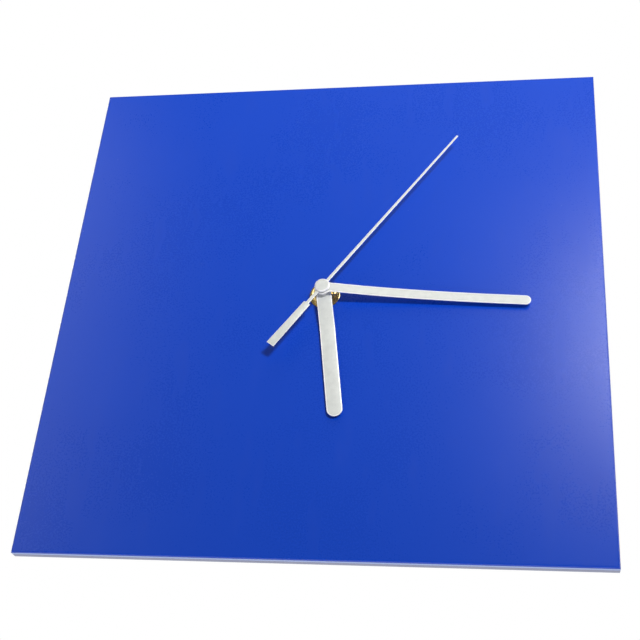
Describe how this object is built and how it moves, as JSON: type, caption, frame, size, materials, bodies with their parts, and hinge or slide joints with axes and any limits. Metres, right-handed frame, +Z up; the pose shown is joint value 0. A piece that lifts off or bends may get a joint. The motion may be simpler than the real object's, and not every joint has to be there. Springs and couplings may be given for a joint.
{
  "type": "wall clock",
  "caption": "Square wall clock: plain blue board, aluminium hour, minute and second hands on a brass bush, battery quartz movement with a keyhole hanger behind.",
  "frame": {"origin": "centre of the hanger hole in the movement's rear cover, on the wall plane", "axes": "the dial faces -Y, +X is to the right of someone reading the clock, +Z is up, and +Y points into the wall"},
  "size_m": [0.28, 0.0337, 0.28],
  "materials": {
    "blue_acrylic": "satin gloss, solid blue",
    "pale_board": "pale grey foamed board, cut edge",
    "black_rubber": "matt",
    "brass": "bright turned brass",
    "hand_aluminium": "fine matt face with bright pressed edges",
    "case_plastic": "fine moulded texture, black",
    "white_acetal": "moulded, natural white",
    "battery_wrap": "printed sleeve with plain bands",
    "nickel_strip": "nickel plated spring strip",
    "copper_wire": "enamelled copper wire",
    "core_steel": "soft iron strip",
    "magnet": "sintered, dark grey",
    "circuit_laminate": "paper laminate, brown",
    "epoxy": "potting resin, black",
    "crystal_can": "drawn can",
    "arbor_steel": "polished pivot steel"
  },
  "bodies": {
    "clock_body": {"face_sheet": "blue_acrylic", "backing_board": "pale_board", "rubber_washer": "black_rubber", "threaded_bush": "brass", "brass_washer": "brass", "hex_nut": "brass", "front_case": "case_plastic", "rear_cover": "case_plastic", "middle_plate": "white_acetal", "battery": "battery_wrap", "negative_contact": "nickel_strip", "positive_contact": "nickel_strip", "coil_bobbin": "white_acetal", "coil_winding": "copper_wire", "coil_core": "core_steel", "stator_plate": "core_steel", "circuit_board": "circuit_laminate", "chip_cover": "epoxy", "quartz_crystal": "crystal_can"},
    "second_hand_arbor": {"second_arbor": "arbor_steel", "second_wheel": "white_acetal", "second_hand": "hand_aluminium", "second_hand_cap": "hand_aluminium"},
    "minute_hand_pipe": {"minute_pipe": "white_acetal", "minute_collet": "hand_aluminium", "minute_hand": "hand_aluminium"},
    "hour_hand_pipe": {"hour_wheel": "white_acetal", "hour_collet": "hand_aluminium", "hour_hand": "hand_aluminium"},
    "setting_arbor": {"minute_wheel": "white_acetal", "setting_knob": "case_plastic"},
    "motor_rotor": {"rotor_magnet": "magnet", "rotor_pinion": "white_acetal"},
    "step_arbor": {"step_wheel": "white_acetal"},
    "third_arbor": {"third_wheel": "white_acetal"},
    "centre_arbor": {"centre_wheel": "white_acetal"}
  },
  "joints": [
    {"name": "second_hand_spin", "type": "hinge", "parent": "clock_body", "child": "second_hand_arbor", "pos_m": [0, 0, -0.034], "axis": [0, 1, 0], "continuous": true},
    {"name": "minute_hand_spin", "type": "hinge", "parent": "clock_body", "child": "minute_hand_pipe", "pos_m": [0, 0, -0.034], "axis": [0, 1, 0], "continuous": true},
    {"name": "hour_hand_spin", "type": "hinge", "parent": "clock_body", "child": "hour_hand_pipe", "pos_m": [0, 0, -0.034], "axis": [0, 1, 0], "continuous": true},
    {"name": "setting_knob_spin", "type": "hinge", "parent": "clock_body", "child": "setting_arbor", "pos_m": [-0.00902, 0, -0.03072], "axis": [0, 1, 0], "continuous": true},
    {"name": "rotor_spin", "type": "hinge", "parent": "clock_body", "child": "motor_rotor", "pos_m": [0.01065, 0, -0.03228], "axis": [0, 1, 0], "continuous": true},
    {"name": "step_wheel_spin", "type": "hinge", "parent": "clock_body", "child": "step_arbor", "pos_m": [0.00705, 0, -0.03657], "axis": [0, 1, 0], "continuous": true},
    {"name": "third_wheel_spin", "type": "hinge", "parent": "clock_body", "child": "third_arbor", "pos_m": [0, 0, -0.025], "axis": [0, 1, 0], "continuous": true},
    {"name": "centre_wheel_spin", "type": "hinge", "parent": "clock_body", "child": "centre_arbor", "pos_m": [0, 0, -0.034], "axis": [0, 1, 0], "continuous": true}
  ],
  "couplings": [
    {"joint": "hour_hand_spin", "follows": "minute_hand_spin", "ratio": 0.083333},
    {"joint": "setting_knob_spin", "follows": "minute_hand_spin", "ratio": -0.33333},
    {"joint": "step_wheel_spin", "follows": "second_hand_spin", "ratio": -5},
    {"joint": "rotor_spin", "follows": "second_hand_spin", "ratio": 30},
    {"joint": "third_wheel_spin", "follows": "second_hand_spin", "ratio": -0.125},
    {"joint": "centre_wheel_spin", "follows": "second_hand_spin", "ratio": 0.016667}
  ]
}
